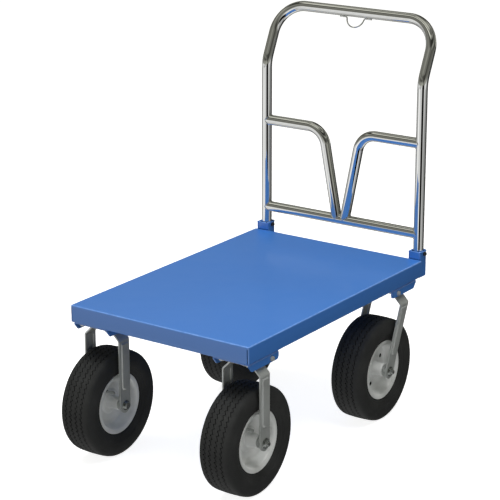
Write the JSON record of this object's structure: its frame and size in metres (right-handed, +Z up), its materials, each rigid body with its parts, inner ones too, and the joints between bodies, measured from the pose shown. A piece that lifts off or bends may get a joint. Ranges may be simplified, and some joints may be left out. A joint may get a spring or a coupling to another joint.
{
  "type": "folding platform cart",
  "caption": "Platform cart with a flanged steel deck, rigid and swivel pneumatic casters, and a tubular push handle that folds down over the deck.",
  "frame": {"origin": "on the floor, under the middle of the cart's overall length and width", "axes": "+Z up, +Y from the deck's front edge towards the handle, +X to the right when looking along +Y"},
  "size_m": [0.6338, 1.1087, 1.1817],
  "materials": {
    "blue_paint": "satin blue paint on sheet steel",
    "zinc_plate": "bright zinc plate",
    "chrome_tube": "polished chrome plate",
    "tyre_rubber": "matte black rubber",
    "rim_silver": "silver paint on pressed steel",
    "black_plastic": "satin black",
    "butyl": "matte butyl rubber"
  },
  "bodies": {
    "deck": {"deck_pan": "blue_paint", "front_cross_member": "blue_paint", "rear_cross_member": "blue_paint", "centre_rib": "blue_paint", "caster_bracket_front_left": "blue_paint", "caster_bracket_front_right": "blue_paint", "caster_bracket_rear_left": "blue_paint", "caster_bracket_rear_right": "blue_paint", "bracket_bolt_front_left": "zinc_plate", "bracket_bolt_front_right": "zinc_plate", "bracket_bolt_rear_left": "zinc_plate", "bracket_bolt_rear_right": "zinc_plate", "caster_plate_front_left": "zinc_plate", "caster_plate_front_right": "zinc_plate", "caster_plate_rear_left": "zinc_plate", "caster_plate_rear_right": "zinc_plate", "kingpin_left": "zinc_plate", "kingpin_right": "zinc_plate", "swivel_race_left": "zinc_plate", "swivel_race_right": "zinc_plate", "fork_front_left": "zinc_plate", "fork_front_right": "zinc_plate", "axle_front_left": "zinc_plate", "axle_front_right": "zinc_plate", "bearing_sleeve_front_left": "zinc_plate", "bearing_sleeve_front_right": "zinc_plate", "handle_socket_left": "blue_paint", "handle_socket_right": "blue_paint", "pivot_bolt_left": "black_plastic", "pivot_bolt_right": "black_plastic"},
    "handle": {"handle_frame": "chrome_tube", "lower_crossbar": "chrome_tube", "brace_left": "chrome_tube", "brace_right": "chrome_tube", "hang_loop": "chrome_tube", "pivot_shoe_left": "blue_paint", "pivot_shoe_right": "blue_paint"},
    "swivel_left": {"fork_rear_left": "zinc_plate", "axle_rear_left": "zinc_plate", "bearing_sleeve_rear_left": "zinc_plate"},
    "swivel_right": {"fork_rear_right": "zinc_plate", "axle_rear_right": "zinc_plate", "bearing_sleeve_rear_right": "zinc_plate"},
    "wheel_front_left": {"tyre_front_left": "tyre_rubber", "inner_tube_front_left": "butyl", "rim_front_left": "rim_silver", "valve_stem_front_left": "butyl"},
    "wheel_front_right": {"tyre_front_right": "tyre_rubber", "inner_tube_front_right": "butyl", "rim_front_right": "rim_silver", "valve_stem_front_right": "butyl"},
    "wheel_rear_left": {"tyre_rear_left": "tyre_rubber", "inner_tube_rear_left": "butyl", "rim_rear_left": "rim_silver", "valve_stem_rear_left": "butyl"},
    "wheel_rear_right": {"tyre_rear_right": "tyre_rubber", "inner_tube_rear_right": "butyl", "rim_rear_right": "rim_silver", "valve_stem_rear_right": "butyl"}
  },
  "joints": [
    {"name": "handle_fold", "type": "hinge", "parent": "deck", "child": "handle", "pos_m": [0, 0.46044, 0.472], "axis": [1, 0, 0], "range_deg": [0, 86]},
    {"name": "swivel_left_turn", "type": "hinge", "parent": "deck", "child": "swivel_left", "pos_m": [-0.241, 0.34104, 0.38], "axis": [0, 0, 1], "continuous": true},
    {"name": "swivel_right_turn", "type": "hinge", "parent": "deck", "child": "swivel_right", "pos_m": [0.241, 0.34104, 0.38], "axis": [0, 0, 1], "continuous": true},
    {"name": "wheel_front_left_spin", "type": "hinge", "parent": "deck", "child": "wheel_front_left", "pos_m": [-0.241, -0.39746, 0.157], "axis": [1, 0, 0], "continuous": true},
    {"name": "wheel_front_right_spin", "type": "hinge", "parent": "deck", "child": "wheel_front_right", "pos_m": [0.241, -0.39746, 0.157], "axis": [1, 0, 0], "continuous": true},
    {"name": "wheel_rear_left_spin", "type": "hinge", "parent": "swivel_left", "child": "wheel_rear_left", "pos_m": [-0.241, 0.25904, 0.157], "axis": [1, 0, 0], "continuous": true},
    {"name": "wheel_rear_right_spin", "type": "hinge", "parent": "swivel_right", "child": "wheel_rear_right", "pos_m": [0.241, 0.25904, 0.157], "axis": [1, 0, 0], "continuous": true}
  ]
}
